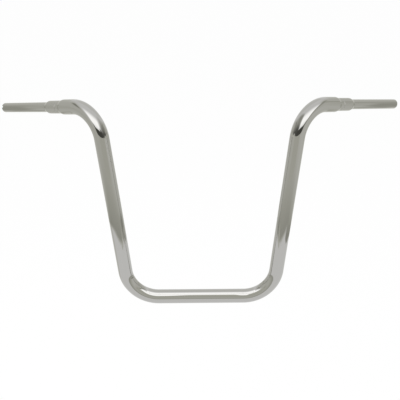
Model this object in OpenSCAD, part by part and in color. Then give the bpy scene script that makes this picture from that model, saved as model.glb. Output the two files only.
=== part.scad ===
// Ape hanger handlebar: one steel tube, bent four times, stepped down at both ends and chromed.
// The origin is the middle of the base tube, between the risers that hold it.
// X runs across the bar, Y runs back towards the rider and Z runs up the plane of the uprights.

/* [Tube] */
// Outside diameter of the main tube
tube_d = 38.1; // [36:0.1:42]
// Wall of the tube, the same in every step
tube_wall = 3.05; // [2:0.05:4]
// Loss of radius where a bend stretches the tube
bend_neck = 0.06; // [0.02:0.01:0.3]

/* [Base] */
// Straight run of the base tube, which the riser clamps grip
base_run = 230; // [180:1:320]
// Radius of each lower bend, to the centreline
lower_bend_r = 88.9; // [76:0.1:120]

/* [Uprights] */
// Straight run of each upright between its two bends
upright_run = 375; // [150:1:500]
// Lean of each upright outwards, in degrees
upright_lean = 5.8; // [0:0.1:15]

/* [Upper bends] */
// Radius of each upper bend, to the centreline
upper_bend_r = 76.2; // [64:0.1:110]
// Sweep of the controls back towards the rider, seen from above, in degrees
sweep = 39; // [5:0.5:60]
// Droop of the controls below the level, in degrees
droop = 9.8; // [0:0.1:20]

/* [Shoulder] */
// Straight run of main tube between the upper bend and the first taper
shoulder_run = 36; // [10:1:60]
// Length of the taper from the main tube down to the collar
shoulder_taper = 13; // [8:0.5:25]

/* [Collar] */
// Outside diameter of the collar
collar_d = 33; // [30:0.1:35]
// Straight run of the collar
collar_run = 43; // [30:1:60]
// Distance of the dressed weld from the collar's big end
weld_from = 9; // [4:0.5:20]
// Width of the fine groove left round the dressed weld
weld_w = 1.4; // [0.6:0.1:3]
// Depth of that groove
weld_depth = 0.35; // [0.1:0.05:0.8]

/* [Grip seat] */
// Length of the taper from the collar down to the grip seat
grip_taper = 15; // [8:0.5:25]
// Outside diameter of the grip seat
grip_d = 25.4; // [22:0.1:28]
// Straight run of the grip seat, up to the tip
grip_run = 189; // [120:1:240]
// Rounding of the tip's outer edge
tip_round = 1; // [0.4:0.1:1.8]
// Chamfer of the bore at the tip
tip_chamfer = 0.6; // [0.2:0.1:1]

/* [Notch] */
// Width of the notch in the tip on the throttle side
notch_w = 5; // [3:0.5:10]
// Depth of the notch along the tube
notch_depth = 5; // [3:0.5:12]
// Turn of the notch about the tube, from the inside of the bend round to the front, in degrees
notch_turn = 116; // [60:1:180]

/* [Hidden] */
$fn = 96;

// Steps in the curve of a taper, and in the rounding of the tip
taper_steps = 8;
round_steps = 4;
// Run of a cutting shape past the face that it opens
past = 1;
// Run of a bend on into the straight at each end
lap = 1;

tube_r = tube_d / 2;
collar_r = collar_d / 2;
grip_r = grip_d / 2;

// The lower bend turns the tube from level up to the upright
lower_turn = 90 - upright_lean;

// Direction of the control as the upright sees it: inwards, towards the rider and onwards
inward = -cos(upright_lean) * cos(sweep) * cos(droop) - sin(upright_lean) * sin(droop);
rearward = -sin(sweep) * cos(droop);
onward = sin(upright_lean) * cos(sweep) * cos(droop) - cos(upright_lean) * sin(droop);
// The upper bend is a plain one in a plane of its own: the tube is rolled, then bent
upper_roll = atan2(rearward, inward);
upper_turn = acos(onward);

// Distances along the control, from the end of the upper bend
collar_at = shoulder_run + shoulder_taper;
weld_at = collar_at + weld_from;
collar_end = collar_at + collar_run;
grip_at = collar_end + grip_taper;
tip_at = grip_at + grip_run;

// A drawn taper leaves one radius and meets the next without an edge
function taper(from_r, to_r, from_z, to_z) =
    [for (i = [0 : taper_steps])
        let (t = i / taper_steps, drop = (1 - cos(180 * t)) / 2)
        [from_r + (to_r - from_r) * drop, from_z + (to_z - from_z) * t]];

// Half section of the control's outside, from the axis out and back
function control_outline() = concat(
    [[0, 0], [tube_r, 0]],
    taper(tube_r, collar_r, shoulder_run, collar_at),
    [[collar_r, weld_at], [collar_r - weld_depth, weld_at + weld_w / 2], [collar_r, weld_at + weld_w]],
    taper(collar_r, grip_r, collar_end, grip_at),
    [for (i = [0 : round_steps])
        let (a = 90 * i / round_steps)
        [grip_r - tip_round * (1 - cos(a)), tip_at - tip_round * (1 - sin(a))]],
    [[0, tip_at]]);

// Half section of the control's bore, which runs out past the tip
function control_bore() = [
    [0, 0],
    [tube_r - tube_wall, 0],
    [tube_r - tube_wall, shoulder_run],
    [collar_r - tube_wall, collar_at],
    [collar_r - tube_wall, collar_end],
    [grip_r - tube_wall, grip_at],
    [grip_r - tube_wall, tip_at - tip_chamfer],
    [grip_r - tube_wall + tip_chamfer + past, tip_at + past],
    [0, tip_at + past]];

// A bend leaves along Z and turns towards X, and laps into the straights on both sides of it
module bend(bend_r, turn, r) {
    lap_turn = lap / bend_r * 180 / PI;
    translate([bend_r, 0, 0])
        rotate([90, 0, 180])
            rotate_extrude(angle = turn + 2 * lap_turn, start = -lap_turn)
                translate([bend_r, 0])
                    circle(r = r - bend_neck);
}

// What follows a straight run or a bend is drawn in the frame where that ends
module after_run(run)
    translate([0, 0, run])
        children();

module after_bend(bend_r, turn)
    translate([bend_r, 0, 0])
        rotate([0, turn, 0])
            translate([-bend_r, 0, 0])
                children();

// Frame at the start of one half: Z runs outwards along the base and X points up
module half_frame()
    rotate([0, 90, 0])
        rotate([0, 0, 180])
            children();

// Frame at the end of the upper bend: Z runs along the control, X points to the bend's inside
module control_frame()
    half_frame()
        after_run(base_run / 2)
            after_bend(lower_bend_r, lower_turn)
                after_run(upright_run)
                    rotate([0, 0, upper_roll])
                        after_bend(upper_bend_r, upper_turn)
                            children();

// Base tube at radius r, between the two lower bends
module base(r)
    rotate([0, 90, 0])
        cylinder(r = r, h = base_run, center = true);

// Bends and upright of one half at radius r
module upright(r)
    half_frame()
        after_run(base_run / 2) {
            bend(lower_bend_r, lower_turn, r);
            after_bend(lower_bend_r, lower_turn) {
                cylinder(r = r, h = upright_run);
                after_run(upright_run)
                    rotate([0, 0, upper_roll])
                        bend(upper_bend_r, upper_turn, r);
            }
        }

module outside() {
    base(tube_r);
    both_sides() {
        upright(tube_r);
        control_frame()
            rotate_extrude()
                polygon(control_outline());
    }
}

module bore() {
    base(tube_r - tube_wall);
    both_sides() {
        upright(tube_r - tube_wall);
        control_frame()
            rotate_extrude()
                polygon(control_bore());
    }
}

// Round-bottomed slot across one wall of the tip
module notch()
    control_frame()
        rotate([0, 0, -notch_turn])
            translate([0, 0, tip_at - notch_depth])
                rotate([90, 0, 90])
                    linear_extrude(grip_r + past) {
                        translate([0, notch_w / 2])
                            circle(d = notch_w);
                        translate([-notch_w / 2, notch_w / 2])
                            square([notch_w, notch_depth]);
                    }

module both_sides() {
    children();
    mirror([1, 0, 0])
        children();
}

module handlebar()
    color("#b9bab7")
        difference() {
            outside();
            bore();
            mirror([1, 0, 0])
                notch();
        }

handlebar();
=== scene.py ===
"""Looks of the ape hanger handlebar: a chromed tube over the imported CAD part, in a pale studio."""

import math
from collections import namedtuple

import bmesh
import bpy
import numpy as np
from mathutils import Matrix, Vector


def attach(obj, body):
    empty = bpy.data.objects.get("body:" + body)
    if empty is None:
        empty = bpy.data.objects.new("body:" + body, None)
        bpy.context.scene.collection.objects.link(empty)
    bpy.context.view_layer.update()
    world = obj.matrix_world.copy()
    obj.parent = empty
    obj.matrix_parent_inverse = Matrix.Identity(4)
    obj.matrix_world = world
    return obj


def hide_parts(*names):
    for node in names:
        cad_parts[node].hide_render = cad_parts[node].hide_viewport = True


bpy.ops.wm.read_factory_settings(use_empty=True)
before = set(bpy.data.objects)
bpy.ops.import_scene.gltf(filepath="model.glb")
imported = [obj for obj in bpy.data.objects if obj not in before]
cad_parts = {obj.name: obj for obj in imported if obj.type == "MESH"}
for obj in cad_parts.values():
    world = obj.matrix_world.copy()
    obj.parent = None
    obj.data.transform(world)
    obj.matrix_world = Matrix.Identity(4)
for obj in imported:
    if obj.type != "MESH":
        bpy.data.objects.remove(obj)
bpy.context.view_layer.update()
SCENE = bpy.context.scene

# Sizes of the part in metres, the same as in part.scad
MM = 0.001
TUBE_R = 38.1 / 2 * MM
TUBE_WALL = 3.05 * MM
BEND_NECK = 0.06 * MM
BASE_RUN = 230 * MM
LOWER_BEND_R = 88.9 * MM
UPRIGHT_RUN = 375 * MM
UPRIGHT_LEAN = math.radians(5.8)
UPPER_BEND_R = 76.2 * MM
SWEEP = math.radians(39)
DROOP = math.radians(9.8)
SHOULDER_RUN = 36 * MM
SHOULDER_TAPER = 13 * MM
COLLAR_R = 33 / 2 * MM
COLLAR_RUN = 43 * MM
WELD_FROM = 9 * MM
WELD_W = 1.4 * MM
WELD_DEPTH = 0.35 * MM
GRIP_TAPER = 15 * MM
GRIP_R = 25.4 / 2 * MM
GRIP_RUN = 189 * MM
TIP_ROUND = 1.0 * MM
TIP_CHAMFER = 0.6 * MM
NOTCH_W = 5 * MM
NOTCH_DEPTH = 5 * MM
NOTCH_TURN = math.radians(116)

# Distances along the control, from the end of the upper bend
COLLAR_AT = SHOULDER_RUN + SHOULDER_TAPER
WELD_AT = COLLAR_AT + WELD_FROM
COLLAR_END = COLLAR_AT + COLLAR_RUN
GRIP_AT = COLLAR_END + GRIP_TAPER
CONTROL_RUN = GRIP_AT + GRIP_RUN

# Turns and directions of the right half
LOWER_TURN = math.pi / 2 - UPRIGHT_LEAN
UPRIGHT_DIR = np.array([math.sin(UPRIGHT_LEAN), 0, math.cos(UPRIGHT_LEAN)])
CONTROL_DIR = np.array([math.cos(SWEEP) * math.cos(DROOP),
                        math.sin(SWEEP) * math.cos(DROOP),
                        -math.sin(DROOP)])
UPPER_TURN = math.acos(UPRIGHT_DIR @ CONTROL_DIR)
MIRROR = np.array([-1.0, 1, 1])

# Distances along the centreline, from the middle of the base
S_LOWER = BASE_RUN / 2
S_UPRIGHT = S_LOWER + LOWER_BEND_R * LOWER_TURN
S_UPPER = S_UPRIGHT + UPRIGHT_RUN
S_CONTROL = S_UPPER + UPPER_BEND_R * UPPER_TURN
S_TIP = S_CONTROL + CONTROL_RUN

# The visual mesh. Its rings are counted on half the base, the lower bend, the upright and the
# upper bend
AROUND = 96
OUTER_RINGS = (8, 60, 19, 64)
BORE_RINGS = (2, 16, 4, 18)
WELD_STEPS = 10
RIM_STEPS = 6
NECK_EASE = 22 * MM      # the bends' small loss of radius fades in over this length
NOTCH_STEPS = 24
NOTCH_PAST = 1 * MM      # run of the notch's cutter past the faces that it opens
SHARP = math.radians(30)


def add_object(name, data):
    obj = bpy.data.objects.new(name, data)
    SCENE.collection.objects.link(obj)
    return obj


def placed(x_axis, y_axis, z_axis, origin):
    """The world matrix of an object with these axes and this origin."""
    m = Matrix((x_axis, y_axis, z_axis)).transposed().to_4x4()
    m.translation = Vector(origin)
    return m


# The centreline
def unit(v):
    return v / np.linalg.norm(v)


def turned(v, axis, angle):
    """v turned about a unit axis."""
    return (v * math.cos(angle) + np.cross(axis, v) * math.sin(angle)
            + axis * (axis @ v) * (1 - math.cos(angle)))


def half_frame(s):
    """Point, tangent and two cross vectors on the right half, at a distance s from the middle."""
    t, e1, e2 = np.array([1.0, 0, 0]), np.array([0, 0, 1.0]), np.array([0, -1.0, 0])
    p = t * min(s, S_LOWER)
    if s <= S_LOWER:
        return p, t, e1, e2
    angle = min((s - S_LOWER) / LOWER_BEND_R, LOWER_TURN)
    axis = np.array([0, -1.0, 0])
    centre = p + e1 * LOWER_BEND_R
    p = centre + turned(p - centre, axis, angle)
    t, e1, e2 = (turned(v, axis, angle) for v in (t, e1, e2))
    if s <= S_UPRIGHT:
        return p, t, e1, e2
    p = p + t * min(s - S_UPRIGHT, UPRIGHT_RUN)
    if s <= S_UPPER:
        return p, t, e1, e2
    toward = unit(CONTROL_DIR - t * (CONTROL_DIR @ t))
    axis = np.cross(t, toward)
    angle = min((s - S_UPPER) / UPPER_BEND_R, UPPER_TURN)
    centre = p + toward * UPPER_BEND_R
    p = centre + turned(p - centre, axis, angle)
    t, e1, e2 = (turned(v, axis, angle) for v in (t, e1, e2))
    return p + t * max(s - S_CONTROL, 0), t, e1, e2


def frame_at(s):
    """The same for the whole bar: negative s is the left half, mirrored."""
    p, t, e1, e2 = half_frame(abs(s))
    if s >= 0:
        return p, t, e1, e2
    return p * MIRROR, -t * MIRROR, e1 * MIRROR, e2 * MIRROR


# The tube's profile, as (s, radius) of each ring
def spread(a, b, steps):
    """Even steps from a to b, without a itself."""
    return list(np.linspace(a, b, steps + 1)[1:])


def eased(t):
    return (1 - math.cos(math.pi * t)) / 2


def neck(s):
    """How far a ring lies inside a bend, from 0 on a straight to 1."""
    inside = [min((s - a) / NECK_EASE, (b - s) / NECK_EASE)
              for a, b in ((S_LOWER, S_UPRIGHT), (S_UPPER, S_CONTROL))]
    return eased(min(max(max(inside), 0), 1))


def bent_places(rings):
    """Places of the rings from the middle of the base to the end of the upper bend."""
    ends = (0, S_LOWER, S_UPRIGHT, S_UPPER, S_CONTROL)
    places = [0.0]
    for start, end, steps in zip(ends, ends[1:], rings):
        places += spread(start, end, steps)
    return places


def straight(start, end, r, steps):
    """Rings of a straight run of the control, without its start."""
    return [(S_CONTROL + d, r) for d in spread(start, end, steps)]


def taper(start, length, from_r, to_r, steps):
    """Rings of a drawn taper, which leaves one radius and meets the next without an edge."""
    return [(S_CONTROL + start + length * k / steps, from_r + (to_r - from_r) * eased(k / steps))
            for k in range(1, steps + 1)]


def weld_groove():
    """Rings of the fine groove of the dressed weld, and one close beside it."""
    shares = [k / WELD_STEPS for k in range(WELD_STEPS + 1)]
    rings = [(S_CONTROL + WELD_AT + WELD_W * x,
              COLLAR_R - WELD_DEPTH * math.sin(math.pi * x) ** 2) for x in shares]
    return rings + [(S_CONTROL + WELD_AT + WELD_W * 1.25, COLLAR_R)]


def outer_half():
    """The outside of one half, from the middle of the base to the rim's rounding."""
    line = [(s, TUBE_R - BEND_NECK * neck(s)) for s in bent_places(OUTER_RINGS)]
    line += straight(0, SHOULDER_RUN, TUBE_R, steps=3)
    line += taper(SHOULDER_RUN, SHOULDER_TAPER, TUBE_R, COLLAR_R, steps=16)
    line += straight(COLLAR_AT, WELD_AT - WELD_W * 0.25, COLLAR_R, steps=2)
    line += weld_groove()
    line += straight(WELD_AT + WELD_W * 1.25, COLLAR_END, COLLAR_R, steps=4)
    line += taper(COLLAR_END, GRIP_TAPER, COLLAR_R, GRIP_R, steps=18)
    line += straight(GRIP_AT, CONTROL_RUN - TIP_ROUND, GRIP_R, steps=23)
    return line


def rim_half():
    """From the rim's rounding over the end face to the chamfer of the bore."""
    angles = spread(0, math.pi / 2, RIM_STEPS)
    line = [(S_TIP - TIP_ROUND * (1 - math.sin(a)), GRIP_R - TIP_ROUND * (1 - math.cos(a)))
            for a in angles]
    bore_r = GRIP_R - TUBE_WALL
    return line + [(S_TIP, bore_r + TIP_CHAMFER), (S_TIP - TIP_CHAMFER, bore_r)]


def bore_half():
    """The bore of one half, from the middle of the base to its chamfer."""
    line = [(s, TUBE_R - TUBE_WALL) for s in bent_places(BORE_RINGS)]
    line += [(S_CONTROL + d, r - TUBE_WALL) for d, r in (
        (SHOULDER_RUN, TUBE_R), (COLLAR_AT, COLLAR_R), (COLLAR_END, COLLAR_R), (GRIP_AT, GRIP_R),
        (GRIP_AT + GRIP_RUN / 2, GRIP_R))]
    # closer together towards the tip, where the notch cuts through
    line += [(S_TIP - d * MM, GRIP_R - TUBE_WALL) for d in (30, 12, 6)]
    return line


def both_halves(line):
    """One half's line, with its mirror image before it."""
    return [(-s, r) for s, r in reversed(line) if s > 0] + line


def tube_mesh():
    """One closed skin: along the outside, over a rim, back through the bore, over the other rim.

    The UV map holds metres along the tube and turns round it."""
    outside, rim, bore = both_halves(outer_half()), rim_half(), both_halves(bore_half())
    loop = outside + rim + bore[::-1] + [(-s, r) for s, r in reversed(rim)]
    angles = np.arange(AROUND) * 2 * math.pi / AROUND
    verts = []
    for s, r in loop:
        p, _, e1, e2 = frame_at(s)
        verts += [tuple(p + r * (math.cos(a) * e1 + math.sin(a) * e2)) for a in angles]
    faces, uv = [], []
    for i, (s, _) in enumerate(loop):
        k = (i + 1) % len(loop)
        next_s = loop[k][0]
        for j in range(AROUND):
            m = (j + 1) % AROUND
            faces.append((i * AROUND + j, i * AROUND + m, k * AROUND + m, k * AROUND + j))
            uv += [s, j / AROUND, s, (j + 1) / AROUND,
                   next_s, (j + 1) / AROUND, next_s, j / AROUND]
    mesh = bpy.data.meshes.new("handlebar_tube")
    mesh.from_pydata(verts, [], faces)
    layer = mesh.uv_layers.new(name="UVMap")
    layer.data.foreach_set("uv", np.array(uv, np.float32))
    return mesh


def notch_cutter():
    """A round-bottomed slot across one wall of the left half's tip, where the throttle goes."""
    p, t, e1, e2 = frame_at(-S_TIP)
    beyond = -t
    # the notch's turn is counted from the inside of the upper bend
    toward = unit(CONTROL_DIR - UPRIGHT_DIR * (CONTROL_DIR @ UPRIGHT_DIR))
    _, _, a1, a2 = half_frame(S_UPPER)
    a = math.atan2(toward @ a2, toward @ a1) - NOTCH_TURN
    out = math.cos(a) * e1 + math.sin(a) * e2
    side = np.cross(beyond, out)
    half = NOTCH_W / 2
    outline = [(half, NOTCH_PAST), (-half, NOTCH_PAST)]
    for k in range(NOTCH_STEPS + 1):
        a = math.pi * k / NOTCH_STEPS
        outline.append((-half * math.cos(a), -NOTCH_DEPTH + half - half * math.sin(a)))
    bm = bmesh.new()
    foot = [p + side * x + beyond * y for x, y in outline]
    low = [bm.verts.new(corner) for corner in foot]
    high = [bm.verts.new(corner + out * (GRIP_R + NOTCH_PAST)) for corner in foot]
    bm.faces.new(low)
    bm.faces.new(high[::-1])
    for k in range(len(outline)):
        m = (k + 1) % len(outline)
        bm.faces.new((low[k], high[k], high[m], low[m]))
    bmesh.ops.recalc_face_normals(bm, faces=bm.faces)
    mesh = bpy.data.meshes.new("notch_cutter")
    bm.to_mesh(mesh)
    bm.free()
    return mesh


def cut(target, cutter_mesh):
    """Takes the cutter out of the target, with the modifier applied and the cutter removed."""
    cutter = add_object("cutter", cutter_mesh)
    mod = target.modifiers.new("notch", "BOOLEAN")
    mod.operation, mod.solver, mod.object = "DIFFERENCE", "EXACT", cutter
    bpy.context.view_layer.update()
    shown = target.evaluated_get(bpy.context.evaluated_depsgraph_get())
    done = bpy.data.meshes.new_from_object(shown)
    target.modifiers.clear()
    target.data = done
    bpy.data.objects.remove(cutter)


def add_tube():
    obj = add_object("handlebar_tube", tube_mesh())
    cut(obj, notch_cutter())
    obj.data.name = "handlebar_tube"
    for poly in obj.data.polygons:
        poly.use_smooth = True
    obj.data.set_sharp_from_angle(angle=SHARP)
    return obj


# Node helpers
class Value:
    """A node's output. In a formula, each sum, product or power of it adds a Math node."""

    def __init__(self, graph, socket):
        self.graph, self.socket = graph, socket

    def __add__(self, other):
        return self.graph.math("ADD", self, other)

    def __radd__(self, other):
        return self.graph.math("ADD", other, self)

    def __sub__(self, other):
        return self.graph.math("SUBTRACT", self, other)

    def __rsub__(self, other):
        return self.graph.math("SUBTRACT", other, self)

    def __mul__(self, other):
        return self.graph.math("MULTIPLY", self, other)

    def __rmul__(self, other):
        return self.graph.math("MULTIPLY", other, self)

    def __truediv__(self, other):
        return self.graph.math("DIVIDE", self, other)

    def __pow__(self, power):
        return self.graph.math("POWER", self, power)

    def __abs__(self):
        return self.graph.math("ABSOLUTE", self)


class Graph:
    """Short calls that add nodes to the tree of a material or world, emptied first if asked."""

    def __init__(self, owner, emptied=True):
        owner.use_nodes = True
        self.tree = owner.node_tree
        if emptied:
            self.tree.nodes.clear()

    def node(self, kind, **settings):
        made = self.tree.nodes.new(kind)
        for key, value in settings.items():
            setattr(made, key, value)
        return made

    def put(self, socket, value):
        """Links an output to a socket, or sets the socket to a plain value."""
        if isinstance(value, Value):
            self.tree.links.new(value.socket, socket)
        else:
            socket.default_value = value

    def add(self, kind, *inputs, **settings):
        """Adds a node with its inputs given in their order, and returns its first output."""
        made = self.node(kind, **settings)
        for socket, value in zip(made.inputs, inputs):
            self.put(socket, value)
        return Value(self, made.outputs[0])

    def output(self, kind, name):
        return Value(self, self.node(kind).outputs[name])

    def math(self, operation, *inputs, clamp=False):
        return self.add("ShaderNodeMath", *inputs, operation=operation, use_clamp=clamp)

    def split(self, vector):
        """The three numbers of a vector."""
        made = self.node("ShaderNodeSeparateXYZ")
        self.put(made.inputs[0], vector)
        return [Value(self, socket) for socket in made.outputs]

    def finish(self, shader, output="ShaderNodeOutputMaterial"):
        self.put(self.node(output).inputs["Surface"], shader)


def step(value, low, high, to_low=0.0, to_high=1.0):
    """A smooth step, from to_low where value is low to to_high where it is high."""
    return value.graph.add("ShaderNodeMapRange", value, low, high, to_low, to_high,
                           interpolation_type="SMOOTHSTEP")


def rise(value, low, high):
    """From 0 where value is low to 1 where it is high."""
    return step(value, low, high)


def fall(value, low, high):
    """From 1 where value is low to 0 where it is high."""
    return step(value, low, high, 1.0, 0.0)


def band(value, low, full_low, full_high, high):
    """1 between the two middle limits, fading to 0 at the outer ones."""
    return rise(value, low, full_low) * fall(value, full_high, high)


def linear(value, low, high):
    """How far value has come from low to high, from 0 to 1."""
    return value.graph.math("DIVIDE", value - low, high - low, clamp=True)


def mix(share, a, b):
    """a where share is 0, b where it is 1."""
    return a * (1 - share) + b * share


def largest(a, b):
    return a.graph.math("MAXIMUM", a, b)


# The chrome
CHROME_COLOUR = (0.466, 0.462, 0.450)
SHADE, SHADE_GRAIN, SHADE_STREAK = 0.9625, 0.03, 0.045     # shares of that colour
ROUGH, ROUGH_GRAIN, ROUGH_HAZE = 0.03, 0.03, 0.03
WELD_DARKER, WELD_ROUGHER = 0.04, 0.12
GRAIN_HEIGHT = 0.0006 * MM
RIPPLE_HEIGHT = 0.03 * MM
NOISE_ROUGHNESS = 0.55


def chrome():
    """Bright plate: a clean mirror over the fine grain that polishing leaves along the tube."""
    mat = bpy.data.materials.new("chrome_plate")
    g = Graph(mat, emptied=False)
    bsdf = mat.node_tree.nodes["Principled BSDF"]
    run, turns, _ = g.split(g.add("ShaderNodeUVMap", uv_map="UVMap"))
    angle = turns * (2 * math.pi)
    round_x, round_y = g.math("COSINE", angle), g.math("SINE", angle)

    def noise(along, about, detail):
        """Seamless noise round the tube: along and about are its features a metre and a radian."""
        place = g.add("ShaderNodeCombineXYZ", run * along, round_x * about, round_y * about)
        made = g.node("ShaderNodeTexNoise", normalize=True)
        for name, value in (("Vector", place), ("Scale", 1.0), ("Detail", detail),
                            ("Roughness", NOISE_ROUGHNESS)):
            g.put(made.inputs[name], value)
        return Value(g, made.outputs[0])

    grain = noise(along=9, about=34, detail=3)
    streak = noise(along=5, about=6, detail=2)
    haze = rise(noise(along=30, about=3, detail=4), 0.50, 0.75)
    ripple = noise(along=34, about=1.3, detail=2)
    # the dressed weld is a little duller than the plate beside it
    from_weld = abs(abs(run) - (S_CONTROL + WELD_AT + WELD_W / 2))
    weld = fall(from_weld, 0.6 * WELD_W, 1.6 * WELD_W)

    shade = SHADE + (SHADE_GRAIN * grain + SHADE_STREAK * streak)
    shade = shade * (1 - weld * WELD_DARKER)
    tinted = g.node("ShaderNodeVectorMath", operation="SCALE")
    g.put(tinted.inputs[0], CHROME_COLOUR)
    g.put(tinted.inputs["Scale"], shade)
    bump = g.node("ShaderNodeBump")
    g.put(bump.inputs["Strength"], 1.0)
    g.put(bump.inputs["Distance"], 1.0)
    g.put(bump.inputs["Height"], ripple * RIPPLE_HEIGHT + grain * GRAIN_HEIGHT)
    for name, value in (
            ("Base Color", Value(g, tinted.outputs[0])),
            ("Metallic", 1.0),
            ("Roughness", ROUGH + ROUGH_GRAIN * grain + ROUGH_HAZE * haze + weld * WELD_ROUGHER),
            ("Normal", Value(g, bump.outputs[0]))):
        g.put(bsdf.inputs[name], value)
    return mat


# The camera, fitted to the photograph
YAW, PITCH, ROLL = math.radians(0.195), math.radians(23.438), math.radians(-0.590)
TARGET = np.array([-0.686, 60, 261.17]) * MM
CAMERA_AWAY = 1762.07 * MM
PHOTO_PX, FOCAL_PX, SENSOR = 400, 659.759, 36.0
CLIP_NEAR, CLIP_FAR = 0.05, 60


def add_camera():
    forward = np.array([-math.sin(YAW) * math.cos(PITCH),
                        math.cos(YAW) * math.cos(PITCH),
                        -math.sin(PITCH)])
    right = unit(np.cross(forward, [0, 0, 1]))
    up = np.cross(right, forward)
    right, up = (right * math.cos(ROLL) + up * math.sin(ROLL),
                 up * math.cos(ROLL) - right * math.sin(ROLL))
    data = bpy.data.cameras.new("camera")
    data.sensor_width = SENSOR
    data.lens = SENSOR * FOCAL_PX / PHOTO_PX
    data.clip_start, data.clip_end = CLIP_NEAR, CLIP_FAR
    cam = add_object("camera", data)
    cam.matrix_world = placed(right, up, -forward, TARGET - forward * CAMERA_AWAY)
    SCENE.camera = cam


# The studio: a world, a floor and a lamp for the picture, and a tent with cards for the chrome
ACROSS = np.array([1.0, 0, 0])
PICTURE_UP = np.array([0, math.sin(PITCH), math.cos(PITCH)])
CAMERA_DIR = np.array([0, -math.cos(PITCH), math.sin(PITCH)])
STUDIO_MID = np.array([0, 60, 260]) * MM
WORLD_FILL = 1.0
FLOOR_Z = -0.70
FLOOR_SIZE = 30.0
FLOOR_PAPER = (0.92, 0.92, 0.92, 1)
FLOOR_WHITE = 0.82       # share of plain white in the floor that the camera and the chrome see
LAMP_AT = (-0.6, -1.6, 2.6)
LAMP_SIZE = 2.0
LAMP_WATTS = 22
WHITE = (1, 1, 1, 1)
GREY = (1.0, 1.0, 0.89, 1)      # what is grey in the tent is a little olive


def studio_point(across, up, towards):
    """A point from the studio's middle: right and up in the picture, and towards the camera."""
    return STUDIO_MID + ACROSS * across + PICTURE_UP * up + CAMERA_DIR * towards


def rectangle(name, low, high, z=0.0):
    """A mesh of one face between two corners."""
    (x0, y0), (x1, y1) = low, high
    mesh = bpy.data.meshes.new(name)
    mesh.from_pydata([(x0, y0, z), (x1, y0, z), (x1, y1, z), (x0, y1, z)], [], [(0, 1, 2, 3)])
    return mesh


def seen_white(g):
    """1 for the rays that show a white background: camera, glossy and transmission rays."""
    path = g.node("ShaderNodeLightPath")
    camera, glossy, through = (Value(g, path.outputs[name]) for name in (
        "Is Camera Ray", "Is Glossy Ray", "Is Transmission Ray"))
    return g.math("ADD", camera + glossy, through, clamp=True)


def add_world():
    world = bpy.data.worlds.new("studio")
    SCENE.world = world
    g = Graph(world)
    fill = g.add("ShaderNodeBackground", WHITE, WORLD_FILL)
    shown = g.add("ShaderNodeBackground", WHITE, 1.0)
    both = g.add("ShaderNodeMixShader", seen_white(g), fill, shown)
    g.finish(both, "ShaderNodeOutputWorld")


def add_floor():
    """A plain white sheet below the held bar. It takes the bar's shadow."""
    h = FLOOR_SIZE / 2
    floor = add_object("floor", rectangle("floor", (-h, -h), (h, h), FLOOR_Z))
    mat = bpy.data.materials.new("floor_white")
    g = Graph(mat)
    paper = g.add("ShaderNodeBsdfDiffuse", FLOOR_PAPER)
    glow = g.add("ShaderNodeEmission", WHITE, 1.0)
    g.finish(g.add("ShaderNodeMixShader", seen_white(g) * FLOOR_WHITE, paper, glow))
    floor.data.materials.append(mat)


def add_lamp():
    data = bpy.data.lights.new("key", "AREA")
    data.shape, data.size, data.energy = "SQUARE", LAMP_SIZE, LAMP_WATTS
    lamp = add_object("key", data)
    lamp.location = LAMP_AT
    lamp.rotation_mode = "QUATERNION"
    lamp.rotation_quaternion = (Vector(STUDIO_MID) - Vector(LAMP_AT)).to_track_quat("-Z", "Y")
    lamp.visible_glossy = False


def for_reflections_only(obj):
    """Tent and cards show in the chrome, but neither hide the bar nor light the floor."""
    obj.visible_camera = False
    obj.visible_diffuse = False
    obj.visible_shadow = False
    obj.visible_volume_scatter = False


# The tent. Brightness is counted from its white walls, which are 1
TENT_R = 1.2
TENT_MID = STUDIO_MID + CAMERA_DIR * 0.3
TENT_FACES = (96, 48)           # round it, and from pole to pole
SOFTBOX = 2.00
SOFTBOX_FOOT = 1.55             # along its lower edge
GAP = 0.10                      # the dark gap that the camera looks through
SIDE_WALL = 0.75
LOW_WALL, LOW_WALL_FOOT = 0.77, 0.49
LOW_WALL_TOP = -26              # degrees up
LOW_WALL_TILT = 0.0007          # gain a degree across, from left to right
ROOF_LOSS = 0.1
HAZE_LOSS = 0.07
TINT_FROM, TINT_TO = 0.55, 1.1  # brightness at which the olive grey fades to white
NEARLY_NONE = 1e-4              # keeps the division safe straight ahead
MIX_FACTOR, MIX_A, MIX_B, MIX_RESULT = 0, 6, 7, 2       # sockets of the Mix node for colours


def tent_angles(g):
    """Where a point of the tent is seen from its middle, in degrees from the camera's direction:
    right and up in the picture."""
    x, y, z = g.split(g.add("ShaderNodeVectorMath", g.output("ShaderNodeTexCoord", "Object"),
                            operation="NORMALIZE"))
    off_axis = largest(g.math("SQRT", x * x + y * y), NEARLY_NONE)
    ratio = g.math("DEGREES", g.math("ARCCOSINE", z)) / off_axis
    return x * ratio, y * ratio


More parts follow.
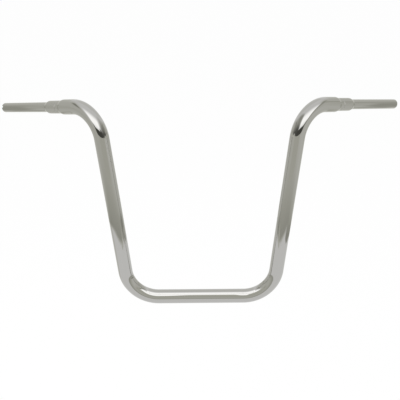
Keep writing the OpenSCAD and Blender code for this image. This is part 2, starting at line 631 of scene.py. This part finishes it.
def tent_brightness(across, up):
    """Brightness of the tent's walls at the given angles. Every limit below is in degrees."""
    wide = abs(across)
    left = fall(across, -1, 0)

    # white walls, greyer at the sides and a little overhead
    side = rise(wide, 50, 76) * fall(up, 62, 105)
    far_side = rise(wide, 68, 84) * fall(up, 96, 125)
    level = mix(largest(side, far_side), 1.0, SIDE_WALL)
    roof = rise(up, 86, 98) * fall(wide, 45, 65)
    level = level * (1 - roof * ROOF_LOSS)

    # a dark seam on each side wall, with a depth of its own
    seam_at = 71 - 0.0033 * (60 - up) ** 2
    seam = fall(abs(wide - seam_at), 1, 9) * rise(up, -16, -6) * fall(up, 58, 74)
    depth = mix(left, step(up, 14, 34, 0.46, 0.36), step(up, 26, 44, 0.08, 0.55))
    level = level * (1 - seam * depth)

    # the grey lower wall, darker towards its foot, and the white floor sheet below its edge
    edge = -61.5 + 11.2 * (wide / 90) ** 2
    edge = mix(rise(across, 56, 70), edge, step(across, 75, 112, -54.5, -48))
    height = linear(up, edge, LOW_WALL_TOP)
    low_wall = mix((1 - height) ** 2.2, LOW_WALL, LOW_WALL_FOOT)
    tilt = rise(up, -57, -44) * fall(wide, 90, 112) * across * LOW_WALL_TILT
    gap_low = -31 + 10 * (wide / 45) ** 2
    level = mix(fall(up, gap_low, gap_low + 8), level, low_wall * (1 + tilt))
    sheet = 1 - rise(wide, 92, 105) * mix(left, 0.05, 0.18)
    level = mix(fall(up - edge, -1.2, 1.2), level, sheet)

    # the dark gap
    gap_top = -5 + step(wide, 36, 56, 0, 10)
    gap = rise(up - gap_low, -2.5, 2.5) * fall(up - gap_top, -2, 2) * fall(wide, 46, 58)
    level = mix(gap, level, GAP)

    # the softbox above it: a firm lower edge, fading upwards
    ends = mix(left, rise(seam_at - wide, 2, 8), fall(wide, 48, 60))
    softbox = rise(up - gap_top, -2, 3) * fall(up, 25, 60) * ends
    level = mix(softbox, level, step(up, -6, 14, SOFTBOX_FOOT, SOFTBOX))

    # what only the controls see, behind the side walls: a thin dark line and a faint haze
    line_at = mix(left, 50, 46)
    line = fall(abs(up - line_at), 2, 9) * mix(left, rise(wide, 76, 80), rise(wide, 94, 99))
    haze = band(wide, 90, 98, 112, 124) * band(up, -2, 8, 36, 48)
    return level * (1 - largest(line * mix(left, 0.22, 0.27), haze * HAZE_LOSS))


def add_tent():
    bm = bmesh.new()
    bmesh.ops.create_uvsphere(bm, u_segments=TENT_FACES[0], v_segments=TENT_FACES[1],
                              radius=TENT_R)
    mesh = bpy.data.meshes.new("tent")
    bm.to_mesh(mesh)
    bm.free()
    tent = add_object("tent", mesh)
    tent.matrix_world = placed(ACROSS, PICTURE_UP, CAMERA_DIR, TENT_MID)
    mat = bpy.data.materials.new("tent_walls")
    g = Graph(mat)
    level = tent_brightness(*tent_angles(g))
    tint = g.node("ShaderNodeMix", data_type="RGBA")
    g.put(tint.inputs[MIX_FACTOR], rise(level, TINT_FROM, TINT_TO))
    g.put(tint.inputs[MIX_A], GREY)
    g.put(tint.inputs[MIX_B], WHITE)
    g.finish(g.add("ShaderNodeEmission", Value(g, tint.outputs[MIX_RESULT]), level))
    mesh.materials.append(mat)
    for_reflections_only(tent)


# The cards in the tent. Every place, size and limit is in metres
GREY_CARD_SIZE = (1.0, 0.306)
GREY_CARD_SLOPE = PICTURE_UP * 0.295 + CAMERA_DIR * 0.08
OVERHEAD_AT, OVERHEAD_SIZE = (-0.15, -0.21, 0.45), (0.3, 0.31)
OVERHEAD_BACK_AT, OVERHEAD_BACK_SIZE = (-0.152, -0.212, 0.4503), (0.304, 0.314)
STRIP_SIZE = (0.28, 0.06)
FLAG_FROM_MID, FLAG_SIZE = 0.15, (0.62, 0.52)
FLAG_FALL = 0.85         # height that a flag's back edge loses for each metre towards the camera
FLAG_LOW = 0.12          # height of a flag's lower edge
TIP_CARD_FROM_MID, TIP_CARD_SIZE = 0.585, (0.24, 0.27)
LOW_BAND_SIZE = (1.0, 0.55)
Paint = namedtuple("Paint", "brightness cover colour", defaults=(1.0, GREY))


def card(name, origin, across, along, size, paint):
    """A card in the tent: a rectangle of the given size on two axes.

    paint(x, y) gives its brightness, how far it covers what is behind it, and its colour. x and y
    are metres on the two axes from the origin."""
    obj = add_object(name, rectangle(name, (0, 0), size))
    x_axis, y_axis = Vector(across).normalized(), Vector(along).normalized()
    obj.matrix_world = placed(x_axis, y_axis, x_axis.cross(y_axis), origin)
    mat = bpy.data.materials.new(name)
    g = Graph(mat)
    x, y, _ = g.split(g.output("ShaderNodeTexCoord", "Object"))
    shown = paint(x, y)
    clear = g.add("ShaderNodeBsdfTransparent")
    glow = g.add("ShaderNodeEmission", shown.colour, shown.brightness)
    g.finish(g.add("ShaderNodeMixShader", shown.cover, clear, glow))
    obj.data.materials.append(mat)
    for_reflections_only(obj)


def grey_card(_x, _y):
    """Hides the dark gap from the base tube and the lower bends."""
    return Paint(brightness=0.67)


def overhead_card(_x, y):
    """Above the base, level with the tops of the uprights: carries the softbox on over the base.

    y runs away from the camera."""
    return Paint(brightness=step(y, 0.10, 0.30, SOFTBOX * 1.02, 1.0), colour=WHITE)


def overhead_back(x, y):
    """The back of the same card, which the upper bends see: grey, dark at its front corners.

    x runs to the right, y away from the camera."""
    from_mid = abs(x - OVERHEAD_BACK_SIZE[0] / 2)
    corners = fall(y, 0.045, 0.105) * rise(from_mid, 0.05, 0.10)
    return Paint(brightness=mix(corners, 0.74, 0.08))


def front_strip(x, y):
    """Low in front of the base: gives the white stripe along it its firm lower edge.

    The strip is lower towards its ends. x runs to the right, y up."""
    top = 0.052 - (step(x, 0.030, 0.120, 0.035, 0) + step(x, 0.235, 0.260, 0, 0.035))
    return Paint(brightness=0.72, cover=fall(y - top, -0.004, 0.002))


def flag_cover(x, y, soft, firm, corner):
    """A flag's soft and firm parts together, above a back edge that starts at corner and falls."""
    low = largest(corner - x * FLAG_FALL, FLAG_LOW)
    return largest(soft, firm) * rise(y - low, -0.01, 0.01)


def left_flag(x, y):
    """Beside the left upper bend, on its inner side. x runs towards the camera, y up."""
    soft = band(x, 0.13, 0.20, 0.22, 0.46) * fall(y, 0.19, 0.37) * 0.9
    firm = band(x, 0.17, 0.22, 0.40, 0.58) * fall(y, 0.145, 0.18)
    return Paint(brightness=step(y, 0.14, 0.24, 0.14, 0.50),
                 cover=flag_cover(x, y, soft, firm, corner=0.30))


def right_flag(x, y):
    """The same for the right upper bend. Its soft part rises towards the camera."""
    top = 0.22 + x * 0.55
    soft = band(x, 0.10, 0.23, 0.28, 0.66) * fall(y - top, -0.06, 0.05)
    firm = band(x, 0.17, 0.22, 0.33, 0.48) * fall(y, 0.14, 0.17)
    return Paint(brightness=step(y, 0.15, 0.24, 0.13, 0.46),
                 cover=flag_cover(x, y, soft, firm, corner=0.31))


def tip_card(x, y):
    """Beyond a tip: darkens the end and the lower edge of the grip seat.

    x runs towards the camera, y up."""
    end = band(x, 0.08, 0.12, 0.165, 0.21) * band(y, 0.105, 0.14, 0.21, 0.25)
    low = band(x, 0.02, 0.05, 0.115, 0.145) * band(y, 0.02, 0.05, 0.13, 0.16) * 0.8
    return Paint(brightness=0.53, cover=largest(end, low))


def low_band(x, y):
    """Outside the right upright: the dark band above the white floor sheet's edge.

    x runs towards the camera, y up."""
    beyond = x - 0.6
    edge = 0.25 + beyond * (-0.53 + beyond * -0.35)
    cover = band(y - edge, -0.008, 0.004, 0.035, 0.085) * band(x, 0.0, 0.15, 0.75, 0.95)
    return Paint(brightness=0.45, cover=cover)


def add_cards():
    back = (0, 1, 0)
    card("grey_card", studio_point(-0.5, -0.45, 0.62), ACROSS, GREY_CARD_SLOPE, GREY_CARD_SIZE,
         grey_card)
    card("overhead_card", OVERHEAD_AT, ACROSS, back, OVERHEAD_SIZE, overhead_card)
    card("overhead_back", OVERHEAD_BACK_AT, ACROSS, back, OVERHEAD_BACK_SIZE, overhead_back)
    card("front_strip", studio_point(-0.14, -0.238, 0.12), ACROSS, PICTURE_UP, STRIP_SIZE,
         front_strip)
    for side, sign, flag in (("left", -1, left_flag), ("right", 1, right_flag)):
        card(side + "_flag", studio_point(sign * FLAG_FROM_MID, 0, 0), CAMERA_DIR, PICTURE_UP,
             FLAG_SIZE, flag)
        card(side + "_tip_card", studio_point(sign * TIP_CARD_FROM_MID, 0.05, -0.20), CAMERA_DIR,
             PICTURE_UP, TIP_CARD_SIZE, tip_card)
    card("low_band", studio_point(0.62, -0.62, -0.60), CAMERA_DIR, PICTURE_UP, LOW_BAND_SIZE,
         low_band)


tube = add_tube()
tube.data.materials.clear()
tube.data.materials.append(chrome())
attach(tube, "root")
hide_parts("handlebar")

SCENE.view_settings.view_transform = "Standard"
add_camera()
add_world()
add_floor()
add_tent()
add_cards()
add_lamp()
